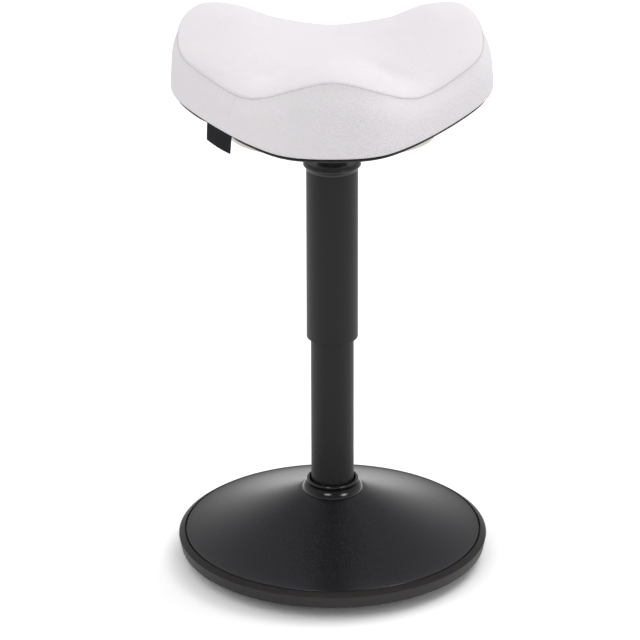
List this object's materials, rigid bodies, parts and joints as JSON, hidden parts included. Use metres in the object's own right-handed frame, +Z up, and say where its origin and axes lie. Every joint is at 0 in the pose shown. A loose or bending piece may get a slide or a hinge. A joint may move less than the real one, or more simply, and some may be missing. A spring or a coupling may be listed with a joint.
{
  "type": "saddle wobble stool",
  "caption": "Height-adjustable saddle stool: upholstered saddle seat on a gas-lift telescoping column, standing in a weighted conical base with a convex underside that lets the stool rock.",
  "frame": {"origin": "on the floor, under the column's axis, at the middle of the base's footprint", "axes": "+Z up along the column, -Y towards the seat's front (the pommel, seen in the picture), +X to the viewer's right in the picture"},
  "size_m": [0.376, 0.372, 0.6853],
  "materials": {
    "off_white_fabric": "fine twill weave, matt",
    "black_tape": "woven tape, matt",
    "seat_foam": "moulded foam",
    "birch_plywood": "plain sanded plywood",
    "black_moulding": "moulded polypropylene, matt",
    "off_white_moulding": "moulded polypropylene, satin",
    "satin_black_moulding": "fine-grained satin black",
    "gloss_black_moulding": "gloss black",
    "black_powder_coat": "satin black powder coat",
    "black_rubber": "matt rubber",
    "cast_iron": "rough cast",
    "zinc_plated_steel": "zinc plated",
    "ground_steel": "ground and polished",
    "sintered_brass": "sintered"
  },
  "bodies": {
    "base": {"floor_pad": "black_rubber", "rocker_tray": "black_moulding", "rim_ring": "black_rubber", "cone_cover": "satin_black_moulding", "base_collar": "gloss_black_moulding", "hub_socket": "zinc_plated_steel", "ballast_disc": "cast_iron", "base_screw_1": "zinc_plated_steel", "base_screw_2": "zinc_plated_steel", "base_screw_3": "zinc_plated_steel", "base_screw_4": "zinc_plated_steel", "socket_bolt_1": "zinc_plated_steel", "socket_bolt_2": "zinc_plated_steel", "socket_bolt_3": "zinc_plated_steel", "outer_tube": "black_powder_coat", "guide_bush": "black_moulding", "lower_race": "zinc_plated_steel", "ball_cage": "sintered_brass", "bearing_ball_1": "zinc_plated_steel", "bearing_ball_2": "zinc_plated_steel", "bearing_ball_3": "zinc_plated_steel", "bearing_ball_4": "zinc_plated_steel", "bearing_ball_5": "zinc_plated_steel", "bearing_ball_6": "zinc_plated_steel"},
    "gas_rod": {"upper_race": "zinc_plated_steel", "rubber_buffer": "black_rubber", "rod_clip": "zinc_plated_steel", "piston_rod": "ground_steel", "piston": "sintered_brass"},
    "seat": {"pressure_cylinder": "ground_steel", "rod_guide": "sintered_brass", "cover_tube": "black_powder_coat", "slide_ring": "black_moulding", "column_cap": "gloss_black_moulding", "taper_hub": "zinc_plated_steel", "lever_channel": "zinc_plated_steel", "mounting_plate": "zinc_plated_steel", "lever_pin": "ground_steel", "belly_cover": "off_white_moulding", "under_pan": "black_moulding", "seat_board": "birch_plywood", "tee_nut_1": "zinc_plated_steel", "tee_nut_2": "zinc_plated_steel", "tee_nut_3": "zinc_plated_steel", "tee_nut_4": "zinc_plated_steel", "seat_bolt_1": "zinc_plated_steel", "seat_bolt_2": "zinc_plated_steel", "seat_bolt_3": "zinc_plated_steel", "seat_bolt_4": "zinc_plated_steel", "pan_screw_1": "zinc_plated_steel", "pan_screw_2": "zinc_plated_steel", "pan_screw_3": "zinc_plated_steel", "pan_screw_4": "zinc_plated_steel", "foam_core": "seat_foam", "top_panel": "off_white_fabric", "side_band": "off_white_fabric", "label_tab": "black_tape"},
    "lever": {"release_lever": "zinc_plated_steel", "lever_paddle": "black_moulding"},
    "valve": {"valve_pin": "ground_steel"}
  },
  "joints": [
    {"name": "swivel", "type": "hinge", "parent": "base", "child": "gas_rod", "pos_m": [0, 0, 0.02], "axis": [0, 0, 1], "continuous": true},
    {"name": "lift", "type": "slide", "parent": "gas_rod", "child": "seat", "axis": [0, 0, 1], "range_m": [-0.165, 0.015]},
    {"name": "lever_pull", "type": "hinge", "parent": "seat", "child": "lever", "pos_m": [-0.02411, 0.00974, 0.556], "axis": [0.3746, 0.9272, 0], "range_deg": [0, 6], "stiffness_Nm_per_rad": 3},
    {"name": "valve_press", "type": "slide", "parent": "seat", "child": "valve", "axis": [0, 0, -1], "range_m": [0, 0.004]}
  ],
  "couplings": [
    {"joint": "valve_press", "follows": "lever_pull", "m_per_rad": 0.026}
  ]
}
